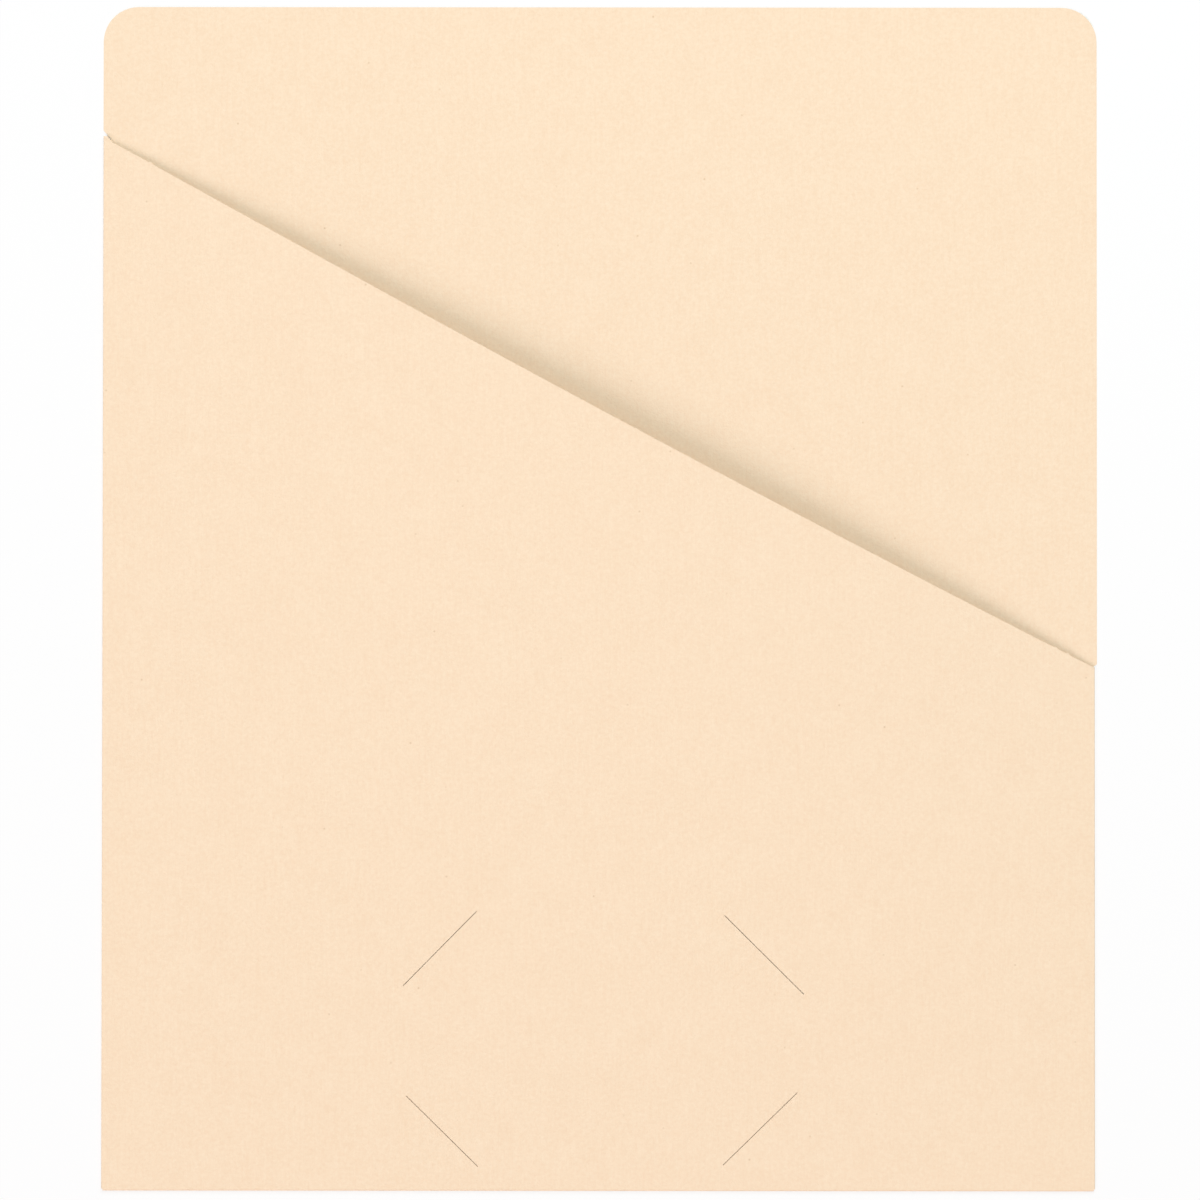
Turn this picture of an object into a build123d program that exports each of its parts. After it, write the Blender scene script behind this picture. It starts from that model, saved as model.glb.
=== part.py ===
from build123d import *
import os
from math import radians, tan

# A slash-pocket file jacket: one die-cut sheet of manila card, folded up along
# the bottom and in along both sides, and glued into a flat pocket. It lies on
# its back. X runs across the sheet, Y up it and Z out of its front, and the
# origin is on the table under the middle of the back. All sizes are in mm.

# Card stock, glue and folds
CARD = 0.28                      # 11-point manila
GLUE = 0.05                      # dry line of adhesive
SIDE_FOLD_RADIUS = 0.05          # inside radius of a pressed side fold

# Back panel
PANEL_WIDTH = 250.8              # 9 7/8 in
PANEL_HEIGHT = 298.5             # 11 3/4 in, down to the outside of the bottom fold
TOP_CORNER_RADIUS = 8.9
LEFT_STEP_INSET = 1.85           # how much narrower the back is behind the pocket, on each side
RIGHT_STEP_INSET = 1.0
LEFT_STEP_RISE = 1.45            # the slanted steps start this far above the ends of the slash
RIGHT_STEP_RISE = 0.8
LEFT_STEP_FALL = 0.65            # and the left one runs on down past its end

# Pocket front
LEFT_POCKET_INSET = 0.05         # side folds stand this far inside the back's edges
RIGHT_POCKET_INSET = 0.6
SLASH_LEFT_DROP = 32.7           # from the top edge down to the top of the left fold
SLASH_RIGHT_HEIGHT = 131.9       # from the bottom edge up to its right end
SLASH_SAG = 1.85                 # the slash is cut as a very flat hollow arc
MOUTH_GAPE = 6.7                 # rise of the front's bow along the slash
MOUTH_PEAK_OFFSET = 15.0         # the bow is highest a little right of the middle
MOUTH_OPENING_ANGLE = 5.0        # how far the front swings out when the mouth is held open
CREASE_CLEARANCE = 0.05          # between the front panel and the folds around it

# Glue flaps
FLAP_WIDTH = 16.0
FLAP_END_GAP = 2.0               # from a flap's ends to the slash and to the bottom fold
FLAP_END_SLANT = 16.0            # height over which a flap's ends taper
GLUE_MARGIN = 3.5                # bare border of the flap around its glue

# Slits that hold a business card by its corners
BUSINESS_CARD_WIDTH = 88.9
BUSINESS_CARD_HEIGHT = 50.8
CARD_TUCK_ACROSS = 4.0           # from a card corner in to the middle of its slit
CARD_TUCK_DOWN = 3.0
CARD_CENTRE_HEIGHT = 37.6        # from the bottom edge up to the middle of the card
SLIT_LENGTH = 26.2
SLIT_WIDTH = 0.15                # the cut as it stands open
SLIT_ANGLE = 45

# Layers, from the table up
flap_level = CARD + GLUE
side_fold_axis = flap_level + CARD + SIDE_FOLD_RADIUS
front_level = side_fold_axis + SIDE_FOLD_RADIUS
bottom_fold_radius = (front_level - CARD) / 2
bottom_fold_axis = CARD + bottom_fold_radius

# Edges and creases, seen from the front
half_width = PANEL_WIDTH / 2
top_edge = PANEL_HEIGHT / 2
bottom_edge = -PANEL_HEIGHT / 2
left_crease = -half_width + LEFT_POCKET_INSET + SIDE_FOLD_RADIUS + CARD
right_crease = half_width - RIGHT_POCKET_INSET - SIDE_FOLD_RADIUS - CARD
bottom_crease = bottom_edge + bottom_fold_radius + CARD
slash_left_end = top_edge - SLASH_LEFT_DROP
slash_right_end = bottom_edge + SLASH_RIGHT_HEIGHT

os.makedirs("parts", exist_ok=True)


# Back panel: full height, with round top corners and a slanted step at each
# end of the slash, below which it is narrower and stays inside the folds
with BuildPart() as back_panel:
    with BuildSketch():
        with BuildLine():
            Polyline(
                (-half_width + LEFT_STEP_INSET, bottom_crease),
                (half_width - RIGHT_STEP_INSET, bottom_crease),
                (half_width - RIGHT_STEP_INSET, slash_right_end),
                (half_width, slash_right_end + RIGHT_STEP_RISE),
                (half_width, top_edge),
                (-half_width, top_edge),
                (-half_width, slash_left_end + LEFT_STEP_RISE),
                (-half_width + LEFT_STEP_INSET, slash_left_end - LEFT_STEP_FALL),
                close=True,
            )
        make_face()
        fillet(vertices().group_by(Axis.Y)[-1], TOP_CORNER_RADIUS)
    extrude(amount=CARD)
back_panel.part.label = "back_panel"
export_step(back_panel.part, "parts/back_panel.step")


def fold_section(inside_radius):
    """Half ring of card bent about the sketch's origin, open towards its +X side."""
    outside_radius = inside_radius + CARD
    with BuildSketch() as section:
        with BuildLine():
            CenterArc((0, 0), outside_radius, 90, 180)
            Line((0, -outside_radius), (0, -inside_radius))
            CenterArc((0, 0), inside_radius, 90, 180)
            Line((0, inside_radius), (0, outside_radius))
        make_face()
    return section.sketch


# Bottom fold: the half-round crease that turns the back up into the front, and
# about which the front swings as the mouth opens
bottom_fold_plane = Plane(
    origin=(left_crease, bottom_crease, bottom_fold_axis), x_dir=(0, 1, 0), z_dir=(1, 0, 0)
)
with BuildPart() as bottom_fold:
    with BuildSketch(bottom_fold_plane):
        add(fold_section(bottom_fold_radius))
    extrude(amount=right_crease - left_crease)
RevoluteJoint(
    "mouth",
    to_part=bottom_fold.part,
    axis=Axis((0, bottom_crease, bottom_fold_axis), (1, 0, 0)),
    angular_range=(0, MOUTH_OPENING_ANGLE),
)
bottom_fold.part.label = "bottom_fold"
export_step(bottom_fold.part, "parts/bottom_fold.step")


# Front panel: flat along the bottom fold and bowed off the back along the slash
front_left = left_crease + CREASE_CLEARANCE
front_right = right_crease - CREASE_CLEARANCE
swing_gap = (bottom_fold_radius + CARD) * tan(radians(MOUTH_OPENING_ANGLE))
front_bottom = bottom_crease + swing_gap + CREASE_CLEARANCE
slash_left = Vector(front_left, slash_left_end, front_level)
slash_right = Vector(front_right, slash_right_end, front_level)
slash_run = slash_right - slash_left
slash_out = Vector(0, 0, 1).cross(slash_run.normalized())


def strip_section(peak, end, rise):
    """Cross-section of the front from the peak of its bow out to one side."""
    run = end - peak
    with BuildSketch(Plane(origin=peak, x_dir=run, z_dir=run.cross(Vector(0, 0, 1)))) as section:
        with BuildLine():
            for level in (0, CARD):
                if rise:
                    TangentArc((0, level + rise), (run.length, level), tangent=(1, 0))
                else:
                    Line((0, level), (run.length, level))
            Line((0, rise), (0, rise + CARD))
            Line((run.length, 0), (run.length, CARD))
        make_face()
    return section.sketch


bottom_peak = Vector(MOUTH_PEAK_OFFSET, front_bottom, front_level)
slash_peak = slash_left + slash_run * ((MOUTH_PEAK_OFFSET - front_left) / (front_right - front_left))
with BuildPart() as front_panel:
    for slash_corner in (slash_left, slash_right):
        bottom_corner = Vector(slash_corner.X, front_bottom, front_level)
        flat_section = strip_section(bottom_peak, bottom_corner, 0)
        bowed_section = strip_section(slash_peak, slash_corner, MOUTH_GAPE)
        loft([flat_section, bowed_section], ruled=True)

    # The slash is trimmed to its hollow arc, by a cut that runs out past both sides
    cut_height = front_level + MOUTH_GAPE + 2 * CARD
    cut_overrun = slash_run.normalized() * SLASH_SAG
    cut_start = slash_left - cut_overrun
    cut_end = slash_right + cut_overrun
    with BuildSketch():
        with BuildLine():
            arc = SagittaArc((cut_start.X, cut_start.Y), (cut_end.X, cut_end.Y), -SLASH_SAG)
            beyond = slash_out * SLASH_SAG
            Polyline(arc @ 1, arc @ 1 + beyond, arc @ 0 + beyond, arc @ 0)
        make_face()
    extrude(amount=cut_height, mode=Mode.SUBTRACT)

    # Card slits, slanted across the four corners of a business card
    slit_across = BUSINESS_CARD_WIDTH / 2 - CARD_TUCK_ACROSS
    slit_down = BUSINESS_CARD_HEIGHT / 2 - CARD_TUCK_DOWN
    with BuildSketch(Plane((0, bottom_edge + CARD_CENTRE_HEIGHT, 0))):
        for x_side in (-1, 1):
            for y_side in (-1, 1):
                with Locations((x_side * slit_across, y_side * slit_down)):
                    Rectangle(SLIT_LENGTH, SLIT_WIDTH, rotation=-x_side * y_side * SLIT_ANGLE)
    extrude(amount=cut_height, mode=Mode.SUBTRACT)
front_panel.part.label = "front_panel"
export_step(front_panel.part, "parts/front_panel.step")


def flap_outline(side, crease, slash_end):
    """Flap seen from the front, hinged on its side fold and tapered at both ends."""
    free_edge = crease - side * FLAP_WIDTH
    with BuildSketch() as outline:
        with BuildLine():
            Polyline(
                (crease, bottom_crease + FLAP_END_GAP),
                (crease, slash_end - FLAP_END_GAP),
                (free_edge, slash_end - FLAP_END_GAP - FLAP_END_SLANT),
                (free_edge, bottom_crease + FLAP_END_GAP + FLAP_END_SLANT),
                close=True,
            )
        make_face()
    return outline.sketch


# Side folds, flaps and glue: each side of the front turns in under itself, and
# the flap is stuck down to the inside of the back
for side_name, side, crease, slash_end in (
    ("left", -1, left_crease, slash_left_end),
    ("right", 1, right_crease, slash_right_end),
):
    side_fold_plane = Plane(
        origin=(crease, bottom_crease, side_fold_axis), x_dir=(-side, 0, 0), z_dir=(0, 1, 0)
    )
    with BuildPart() as side_fold:
        with BuildSketch(side_fold_plane):
            add(fold_section(SIDE_FOLD_RADIUS))
        extrude(amount=slash_end - bottom_crease)
    side_fold.part.label = f"{side_name}_fold"
    export_step(side_fold.part, f"parts/{side_name}_fold.step")

    with BuildPart() as flap:
        with BuildSketch(Plane.XY.offset(flap_level)):
            add(flap_outline(side, crease, slash_end))
        extrude(amount=CARD)
    flap.part.label = f"{side_name}_flap"
    export_step(flap.part, f"parts/{side_name}_flap.step")

    with BuildPart() as glue_line:
        with BuildSketch(Plane.XY.offset(CARD)):
            add(flap_outline(side, crease, slash_end))
            offset(amount=-GLUE_MARGIN, kind=Kind.INTERSECTION, mode=Mode.REPLACE)
        extrude(amount=GLUE)
    glue_line.part.label = f"{side_name}_glue_line"
    export_step(glue_line.part, f"parts/{side_name}_glue_line.step")
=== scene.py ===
from math import cos, exp, radians, sin, tan

import bpy
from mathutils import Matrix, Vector


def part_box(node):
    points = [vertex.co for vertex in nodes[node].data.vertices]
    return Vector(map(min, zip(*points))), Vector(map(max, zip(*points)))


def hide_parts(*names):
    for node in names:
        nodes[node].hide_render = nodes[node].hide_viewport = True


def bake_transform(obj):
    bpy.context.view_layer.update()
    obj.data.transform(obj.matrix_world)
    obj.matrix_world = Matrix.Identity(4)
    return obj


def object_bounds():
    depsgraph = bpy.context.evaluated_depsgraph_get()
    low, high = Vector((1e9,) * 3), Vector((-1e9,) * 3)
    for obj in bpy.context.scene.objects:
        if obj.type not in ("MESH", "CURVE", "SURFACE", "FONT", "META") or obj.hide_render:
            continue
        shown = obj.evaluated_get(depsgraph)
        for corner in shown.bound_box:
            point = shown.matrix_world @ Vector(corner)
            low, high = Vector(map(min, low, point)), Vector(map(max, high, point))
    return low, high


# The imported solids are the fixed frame, and everything below is built around them.
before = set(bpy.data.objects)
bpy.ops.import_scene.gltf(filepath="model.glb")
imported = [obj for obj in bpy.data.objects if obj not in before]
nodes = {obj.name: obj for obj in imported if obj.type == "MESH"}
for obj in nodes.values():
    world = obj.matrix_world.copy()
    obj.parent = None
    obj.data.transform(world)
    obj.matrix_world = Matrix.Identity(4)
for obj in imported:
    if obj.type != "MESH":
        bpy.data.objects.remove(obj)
cad_low, cad_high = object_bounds()


# Back panel: the full-height sheet of the jacket, die-cut from 11-point manila
# card with rounded top corners. It lies flat, and the rest is folded up from it.
MM = 0.001

MANILA_PALE = "#FEE7CA"
MANILA_DEEP = "#FADFC0"
MANILA_SPECK = "#C8A478"
MANILA_ROUGHNESS = (0.72, 0.86)
MANILA_IOR = 1.5
MANILA_SPECULAR = 0.3

# Sizes of the card's patterns, in millimetres as their coordinates are.
FLOC_SIZE = 9.0                  # cloudy patches where the fibres lie thicker
GRAIN_SIZE = 0.9                 # drawn coarser than real felt marks, so that it shows
FIBRE_LENGTH = 7.0               # fibres lie up the sheet, along the machine direction,
FIBRE_WIDTH = 0.5                # and are drawn longer and wider than real ones
TOOTH_SIZE = 0.45                # relief that grazing light picks out, drawn coarser
SPECK_SPACING = 7.0
SPECK_RADIUS = 0.34

TOOTH_HEIGHT = 0.13 * MM         # drawn deeper than the real relief, as it is coarser
GRAIN_SHARE = 0.75               # how much of the formation is grain rather than cloud,
FIBRE_SHARE = 0.22               # and then how much of it is fibre
RELIEF_FIBRE_SHARE = 0.25        # how much of the relief is fibre rather than tooth
COLOUR_SPAN = (0.35, 0.65)       # stretch of the formation over which the colour changes,
FINISH_SPAN = (0.3, 0.7)         # and the one over which the roughness does
SPECK_CORE = 0.4                 # share of a speck's radius that is dark all over
SPECK_SHARE = 0.06               # share of the possible places that hold a speck
SPECK_DEPTH = 0.42               # the darkest speck, and the others fade from it


def linear(hex_colour):
    """Linear RGBA of an sRGB hex colour."""
    values = [int(hex_colour[i:i + 2], 16) / 255 for i in (1, 3, 5)]
    return [v / 12.92 if v <= 0.04045 else ((v + 0.055) / 1.055) ** 2.4 for v in values] + [1.0]


def add_node(tree, kind, settings, sockets):
    """Add a shader node with its settings, each socket given a value or a link."""
    node = tree.nodes.new(kind)
    for name, value in settings.items():
        setattr(node, name, value)
    for name, value in sockets.items():
        if isinstance(value, bpy.types.NodeSocket):
            tree.links.new(value, node.inputs[name])
        else:
            node.inputs[name].default_value = value
    return node


def place_in_mm(tree):
    """Place on the piece, in millimetres, for its patterns to follow."""
    place = add_node(tree, "ShaderNodeTexCoord", {}, {}).outputs["Object"]
    return add_node(
        tree, "ShaderNodeVectorMath", {"operation": "SCALE"}, {0: place, "Scale": 1 / MM}
    ).outputs[0]


# Manila is a calendered buff board: matte, very even, faintly cloudy, with fine
# fibres along its grain and a few dark specks of bark in it.
manila = bpy.data.materials.new("manila_card")
manila.use_nodes = True
tree = manila.node_tree
in_mm = place_in_mm(tree)
cloud = add_node(
    tree, "ShaderNodeTexNoise", {},
    {"Vector": in_mm, "Scale": 1 / FLOC_SIZE, "Detail": 3.0, "Roughness": 0.6},
).outputs["Fac"]
grain = add_node(
    tree, "ShaderNodeTexNoise", {},
    {"Vector": in_mm, "Scale": 1 / GRAIN_SIZE, "Detail": 2.0, "Roughness": 0.6},
).outputs["Fac"]
along_fibres = add_node(
    tree, "ShaderNodeMapping", {},
    {"Vector": in_mm, "Scale": (1 / FIBRE_WIDTH, 1 / FIBRE_LENGTH, 1 / FIBRE_WIDTH)},
).outputs["Vector"]
fibre = add_node(
    tree, "ShaderNodeTexNoise", {},
    {"Vector": along_fibres, "Scale": 1.0, "Detail": 2.0, "Roughness": 0.5, "Distortion": 0.4},
).outputs["Fac"]
cloud_and_grain = add_node(
    tree, "ShaderNodeMix", {"data_type": "FLOAT"}, {0: GRAIN_SHARE, 2: cloud, 3: grain}
).outputs[0]
formation = add_node(
    tree, "ShaderNodeMix", {"data_type": "FLOAT"}, {0: FIBRE_SHARE, 2: cloud_and_grain, 3: fibre}
).outputs[0]
depth_of_colour = add_node(
    tree, "ShaderNodeMapRange", {},
    {
        "Value": formation, "From Min": COLOUR_SPAN[0], "From Max": COLOUR_SPAN[1],
        "To Min": 0.0, "To Max": 1.0,
    },
).outputs[0]
card_colour = add_node(
    tree, "ShaderNodeMix", {"data_type": "RGBA"},
    {0: depth_of_colour, 6: linear(MANILA_PALE), 7: linear(MANILA_DEEP)},
).outputs[2]
bark = add_node(
    tree, "ShaderNodeTexVoronoi", {"voronoi_dimensions": "2D"},
    {"Vector": in_mm, "Scale": 1 / SPECK_SPACING},
)
speck_edge = SPECK_RADIUS / SPECK_SPACING
speck_shape = add_node(
    tree, "ShaderNodeMapRange", {},
    {
        "Value": bark.outputs["Distance"], "From Min": SPECK_CORE * speck_edge, "From Max": speck_edge,
        "To Min": 1.0, "To Max": 0.0,
    },
).outputs[0]
speck_draw = add_node(tree, "ShaderNodeSeparateColor", {}, {0: bark.outputs["Color"]}).outputs["Blue"]
speck_depth = add_node(
    tree, "ShaderNodeMapRange", {},
    {
        "Value": speck_draw, "From Min": 0.0, "From Max": SPECK_SHARE,
        "To Min": SPECK_DEPTH, "To Max": 0.0,
    },
).outputs[0]
speck = add_node(
    tree, "ShaderNodeMath", {"operation": "MULTIPLY"}, {0: speck_shape, 1: speck_depth}
).outputs[0]
speckled = add_node(
    tree, "ShaderNodeMix", {"data_type": "RGBA"},
    {0: speck, 6: card_colour, 7: linear(MANILA_SPECK)},
).outputs[2]
tooth = add_node(
    tree, "ShaderNodeTexNoise", {},
    {"Vector": in_mm, "Scale": 1 / TOOTH_SIZE, "Detail": 2.0, "Roughness": 0.55},
).outputs["Fac"]
relief = add_node(
    tree, "ShaderNodeMix", {"data_type": "FLOAT"}, {0: RELIEF_FIBRE_SHARE, 2: tooth, 3: fibre}
).outputs[0]
felt_surface = add_node(
    tree, "ShaderNodeBump", {},
    {"Strength": 1.0, "Distance": TOOTH_HEIGHT, "Height": relief},
).outputs["Normal"]
matte = add_node(
    tree, "ShaderNodeMapRange", {},
    {
        "Value": formation, "From Min": FINISH_SPAN[0], "From Max": FINISH_SPAN[1],
        "To Min": MANILA_ROUGHNESS[0], "To Max": MANILA_ROUGHNESS[1],
    },
).outputs[0]
card_shader = tree.nodes["Principled BSDF"]
tree.links.new(speckled, card_shader.inputs["Base Color"])
tree.links.new(matte, card_shader.inputs["Roughness"])
tree.links.new(felt_surface, card_shader.inputs["Normal"])
card_shader.inputs["IOR"].default_value = MANILA_IOR
card_shader.inputs["Specular IOR Level"].default_value = MANILA_SPECULAR
nodes["back_panel"].material_slots[0].material = manila


# Folds and flaps: the creases along the bottom and down both sides, and the
# strips that the side creases turn in under the front. They are the same sheet.
for name in ("bottom_fold", "left_fold", "right_fold", "left_flap", "right_flap"):
    nodes[name].material_slots[0].material = manila


# Glue: a thin dried line of white paper glue that holds each flap to the back.
# It is yellowed and slightly glossy, and uneven where the roller left it.
GLUE_THIN = "#EFE6CC"
GLUE_THICK = "#E4D7B4"
GLUE_ROUGHNESS = 0.45
GLUE_IOR = 1.48
ROLLER_MARK = 2.5                # spacing of the roller's uneven patches, in mm

glue = bpy.data.materials.new("dried_paper_glue")
glue.use_nodes = True
tree = glue.node_tree
patches = add_node(
    tree, "ShaderNodeTexNoise", {},
    {"Vector": place_in_mm(tree), "Scale": 1 / ROLLER_MARK, "Detail": 2.0},
).outputs["Fac"]
glue_colour = add_node(
    tree, "ShaderNodeMix", {"data_type": "RGBA"},
    {0: patches, 6: linear(GLUE_THIN), 7: linear(GLUE_THICK)},
).outputs[2]
glue_shader = tree.nodes["Principled BSDF"]
tree.links.new(glue_colour, glue_shader.inputs["Base Color"])
glue_shader.inputs["Roughness"].default_value = GLUE_ROUGHNESS
glue_shader.inputs["IOR"].default_value = GLUE_IOR
for name in ("left_glue_line", "right_glue_line"):
    nodes[name].material_slots[0].material = glue


# Front panel: the pocket front, the same card, cut off on a long slash and bowed
# a little off the back. It is modelled in two halves that meet on the crest of
# the bow.
CARD = 0.28 * MM                 # thickness of 11-point card
MOUTH_GAPE = 6.7 * MM            # rise of the bow along the slash
CREST = 15.0 * MM                # the bow is highest a little right of the middle
BOW_EASE = 0.2                   # the folds hold the sheet flatter towards the sides
SLASH_SAG = 1.85 * MM            # the slash is cut as a very flat hollow arc
LEFT_DIP = 0.50 * MM             # the slash comes in this much lower at the left fold,
DIP_RUN = 27.0 * MM              # and eases back to its arc over this distance
CORNER_WIDTH = 0.57 * MM         # the front stands as high as the left fold this far beside it,
CORNER_LEAN = radians(48.7)      # and then comes down to the slash beside the back's step
COLUMN = 0.35 * MM               # mean spacing of the mesh across the sheet
CROWDING = 1.5                   # the columns crowd together towards the side folds
ROWS = 40
SMOOTH_ANGLE = radians(30)       # the card's cut edges stay sharp

# Middle of each card slit from the sheet's own middle and bottom edge, its length
# and its lean. The cutting die was set by hand, so no two are quite alike.
CARD_SLITS = (
    (-40.15 * MM, 61.0 * MM, 26.4 * MM, 45.4),
    (41.45 * MM, 59.5 * MM, 28.1 * MM, -44.8),
    (-39.55 * MM, 15.0 * MM, 25.3 * MM, -44.6),
    (40.50 * MM, 15.7 * MM, 26.2 * MM, 44.4),
)
SLIT_WIDTH = 0.15 * MM
BLADE_HEIGHT = 2 * MOUTH_GAPE    # tall enough to cut right through the bowed sheet

# Small nibs left along the slash where the die had nicks: place across and height.
NIBS = (
    (-113.3 * MM, 0.5 * MM),
    (4.4 * MM, 0.25 * MM),
    (9.4 * MM, 0.25 * MM),
    (115.0 * MM, 0.45 * MM),
    (118.0 * MM, 0.5 * MM),
)
NIB_HALF_WIDTH = 0.45 * MM
NIB_FADE = 40                    # power that keeps a nib to the top of its column

left_end = Vector((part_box("left_fold")[1].x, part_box("left_fold")[1].y))
right_end = Vector((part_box("right_fold")[0].x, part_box("right_fold")[1].y))
front_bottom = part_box("bottom_fold")[1].y
front_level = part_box("left_fold")[1].z - CARD
slash_run = right_end - left_end
slash_drop = SLASH_SAG * slash_run.length / slash_run.x


def front_point(x, up):
    """Point on the underside of the front, up from 0 at the bottom fold to 1 at the slash."""
    along = (x - left_end.x) / slash_run.x
    chord = left_end.y + along * slash_run.y
    lip = chord - slash_drop * (1 - (2 * along - 1) ** 2)
    lip -= LEFT_DIP * exp((left_end.x - x) / DIP_RUN)
    for nib_x, nib_height in NIBS:
        lip += nib_height * max(0, 1 - abs(x - nib_x) / NIB_HALF_WIDTH) * up ** NIB_FADE
    corner = left_end.y - max(0, x - left_end.x - CORNER_WIDTH) * tan(CORNER_LEAN)
    lip = max(lip, corner)
    y = front_bottom + up * (lip - front_bottom)
    side = left_end.x if x < CREST else right_end.x
    arch = 1 - ((x - CREST) / (side - CREST)) ** 2
    rise = MOUTH_GAPE * arch * (1 - BOW_EASE * (1 - arch))
    return Vector((x, y, front_level + rise * (y - front_bottom) / (chord - front_bottom)))


bpy.ops.object.select_all(action="DESELECT")
die = []
for middle_x, height, length, lean in CARD_SLITS:
    bpy.ops.mesh.primitive_cube_add(
        size=1,
        location=(middle_x, cad_low.y + height, front_level + MOUTH_GAPE / 2),
        rotation=(0, 0, radians(lean)),
        scale=(length, SLIT_WIDTH, BLADE_HEIGHT),
    )
    die.append(bpy.context.object)
for blade in die:
    blade.select_set(True)
bpy.ops.object.join()
blades = bpy.context.object

for name, side_x in (("front_panel_left", left_end.x), ("front_panel_right", right_end.x)):
    bpy.ops.object.select_all(action="DESELECT")
    columns = round(abs(CREST - side_x) / COLUMN)
    bpy.ops.mesh.primitive_grid_add(x_subdivisions=columns, y_subdivisions=ROWS, size=1)
    half = bpy.context.object
    half.name = name
    for vertex in half.data.vertices:
        from_side = 0.5 + vertex.co.x if side_x < CREST else 0.5 - vertex.co.x
        x = side_x + from_side ** CROWDING * (CREST - side_x)
        vertex.co = front_point(x, 0.5 + vertex.co.y)
    board = half.modifiers.new("board", "SOLIDIFY")
    board.thickness = CARD
    board.offset = 1
    bpy.ops.object.modifier_apply(modifier="board")
    slits = half.modifiers.new("slits", "BOOLEAN")
    slits.operation = "DIFFERENCE"
    slits.solver = "EXACT"
    slits.object = blades
    bpy.ops.object.modifier_apply(modifier="slits")
    bpy.ops.object.shade_smooth_by_angle(angle=SMOOTH_ANGLE)
    half.data.materials.clear()
    half.data.materials.append(manila)
    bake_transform(half)
    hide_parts("front_panel")
bpy.data.objects.remove(blades)


# Table: a plain white surface under the jacket. It shows as white to the eye of
# the camera and in reflections, and still takes the jacket's soft shadow.
FLOOR_SIDE = 6.0                 # in metres
FLOOR_DROP = 0.01 * MM           # just clear of the jacket's underside
FLOOR_WHITE = "#FCFCFC"
FLOOR_ROUGHNESS = 0.9
FLOOR_GLOW = 0.7                 # how far the floor's own shading is lifted to white
COVERED = 0.9925                 # but not under this share of the jacket's width and height,
ALL_WHITE = 5.0                  # and at this many times its size the floor is plain white


def seen_rays(tree):
    """1 for what the camera sees, straight on, mirrored or through glass, and 0 for the rest."""
    rays = add_node(tree, "ShaderNodeLightPath", {}, {})
    mirrored = add_node(
        tree, "ShaderNodeMath", {"operation": "MAXIMUM"},
        {0: rays.outputs["Is Glossy Ray"], 1: rays.outputs["Is Transmission Ray"]},
    ).outputs[0]
    return add_node(
        tree, "ShaderNodeMath", {"operation": "MAXIMUM"},
        {0: rays.outputs["Is Camera Ray"], 1: mirrored},
    ).outputs[0]


bpy.ops.object.select_all(action="DESELECT")
bpy.ops.mesh.primitive_plane_add(size=FLOOR_SIDE, location=(0, 0, cad_low.z - FLOOR_DROP))
floor = bpy.context.object
floor.name = "table"
table_white = bpy.data.materials.new("white_table")
table_white.use_nodes = True
tree = table_white.node_tree
floor_shader = tree.nodes["Principled BSDF"]
floor_shader.inputs["Base Color"].default_value = linear(FLOOR_WHITE)
floor_shader.inputs["Roughness"].default_value = FLOOR_ROUGHNESS
floor_shader.inputs["Specular IOR Level"].default_value = 0.0
floor_place = add_node(tree, "ShaderNodeTexCoord", {}, {}).outputs["Object"]
in_jackets = add_node(
    tree, "ShaderNodeVectorMath", {"operation": "DIVIDE"},
    {0: floor_place, 1: (cad_high.x, cad_high.y, 1)},
).outputs[0]
out_from_middle = add_node(
    tree, "ShaderNodeVectorMath", {"operation": "ABSOLUTE"}, {0: in_jackets}
).outputs[0]
across_and_up = add_node(tree, "ShaderNodeSeparateXYZ", {}, {0: out_from_middle})
reach = add_node(
    tree, "ShaderNodeMath", {"operation": "MAXIMUM"},
    {0: across_and_up.outputs["X"], 1: across_and_up.outputs["Y"]},
).outputs[0]
lift = add_node(
    tree, "ShaderNodeMapRange", {},
    {"Value": reach, "From Min": 1.0, "From Max": ALL_WHITE, "To Min": FLOOR_GLOW, "To Max": 1.0},
).outputs[0]
open_floor = add_node(
    tree, "ShaderNodeMath", {"operation": "GREATER_THAN"}, {0: reach, 1: COVERED}
).outputs[0]
lift_around = add_node(
    tree, "ShaderNodeMath", {"operation": "MULTIPLY"}, {0: lift, 1: open_floor}
).outputs[0]
lifted = add_node(
    tree, "ShaderNodeMath", {"operation": "MULTIPLY"}, {0: seen_rays(tree), 1: lift_around}
).outputs[0]
glow = add_node(tree, "ShaderNodeEmission", {}, {"Strength": 1.0}).outputs[0]
lifted_white = add_node(
    tree, "ShaderNodeMixShader", {}, {0: lifted, 1: floor_shader.outputs[0], 2: glow}
).outputs[0]
tree.links.new(lifted_white, tree.nodes["Material Output"].inputs["Surface"])
floor.data.materials.append(table_white)


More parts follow.
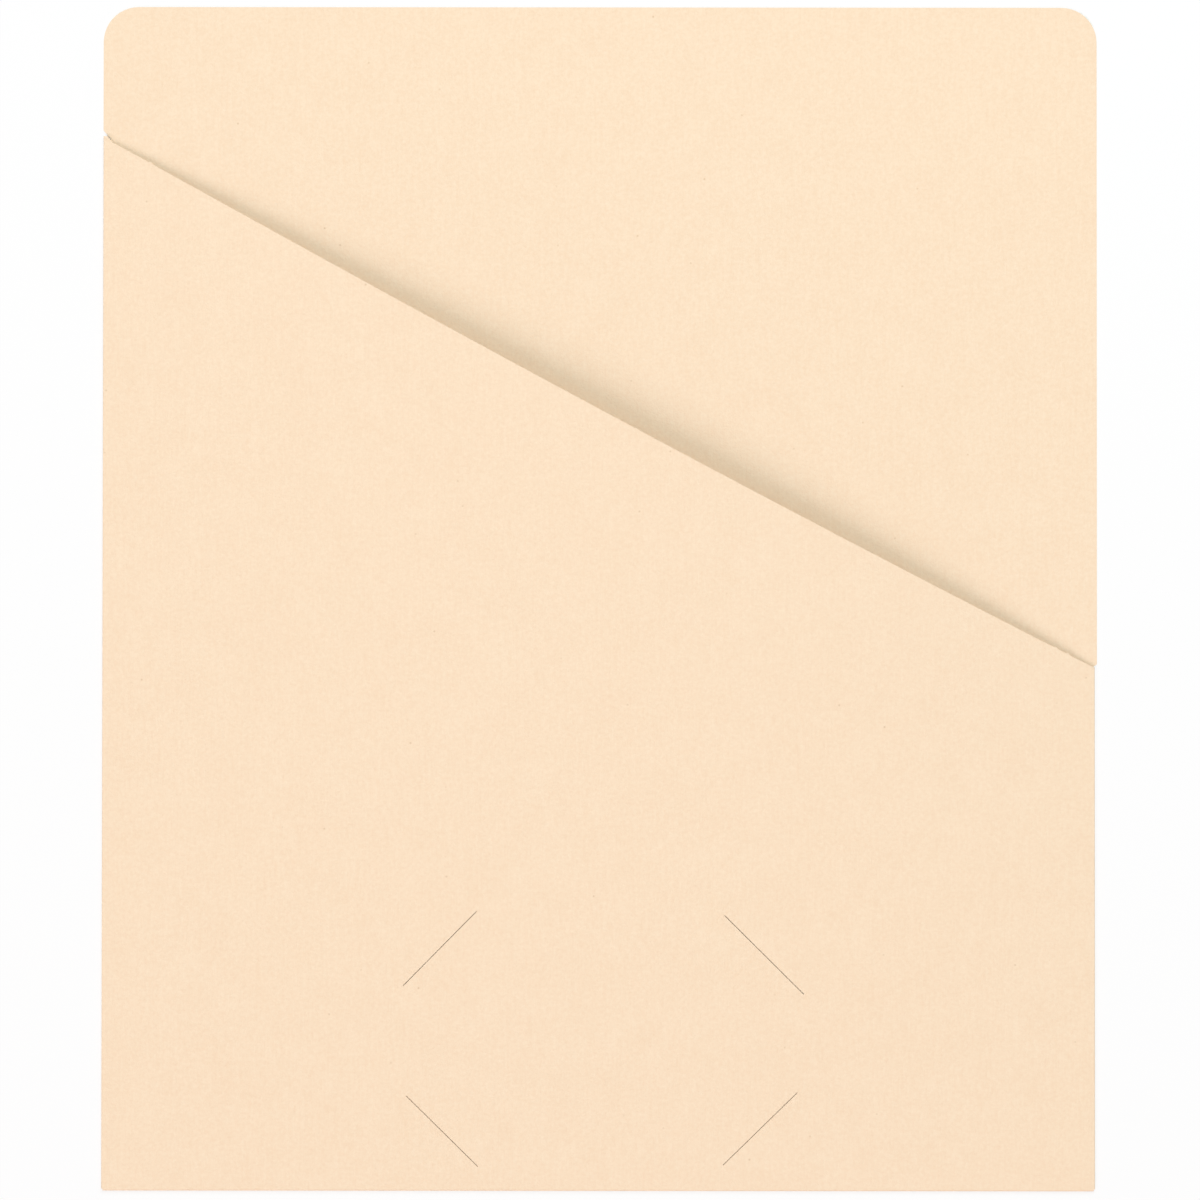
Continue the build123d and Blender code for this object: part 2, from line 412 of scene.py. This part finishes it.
# Light: an even white surround and two large soft lamps. The one above the top
# edge looks into the pocket, and the one below gives the mouth its soft shadow.
SURROUND = 0.465                 # strength on the jacket, while the camera sees it as white

# Each lamp's name, place and diameter in metres, power in watts and tint.
LAMPS = (
    ("top_lamp", Vector((0.26, 1.10, 1.30)), 1.2, 14.2, "#EFFFFF"),
    ("low_lamp", Vector((-1.00, -1.87, 2.12)), 2.4, 36.9, "#FFE9E9"),
)

world = bpy.data.worlds.new("white_surround")
bpy.context.scene.world = world
world.use_nodes = True
tree = world.node_tree
strength = add_node(
    tree, "ShaderNodeMix", {"data_type": "FLOAT"}, {0: seen_rays(tree), 2: SURROUND, 3: 1.0}
).outputs[0]
tree.nodes["Background"].inputs["Color"].default_value = (1.0, 1.0, 1.0, 1.0)
tree.links.new(strength, tree.nodes["Background"].inputs["Strength"])

for name, lamp_place, lamp_diameter, lamp_power, lamp_tint in LAMPS:
    bpy.ops.object.light_add(type="AREA", location=lamp_place)
    lamp = bpy.context.object
    lamp.name = name
    lamp.data.shape = "DISK"
    lamp.data.size = lamp_diameter
    lamp.data.energy = lamp_power
    lamp.data.color = linear(lamp_tint)[:3]
    lamp.rotation_euler = (-lamp_place).to_track_quat("-Z", "Y").to_euler()


# Camera: above the sheet and a hair nearer to its bottom edge, as in the
# photograph, and far enough off for the view to be nearly flat.
VIEW_SIDE = 302.7 * MM           # width of the square picture, on the sheet
VIEW_CENTRE = Vector((0.10 * MM, -0.47 * MM, 0))
VIEW_TILT = radians(1.0)
VIEW_TURN = radians(0.05)
VIEW_DISTANCE = 1.5              # in metres
SENSOR_WIDTH = 36.0              # in mm, as the lens is

bpy.ops.object.camera_add(
    location=VIEW_CENTRE + VIEW_DISTANCE * Vector((0, -sin(VIEW_TILT), cos(VIEW_TILT))),
    rotation=(VIEW_TILT, 0, VIEW_TURN),
)
camera = bpy.context.object
camera.name = "camera"
camera.data.sensor_width = SENSOR_WIDTH
camera.data.lens = SENSOR_WIDTH * VIEW_DISTANCE / VIEW_SIDE
bpy.context.scene.camera = camera
bpy.context.scene.view_settings.view_transform = "Standard"
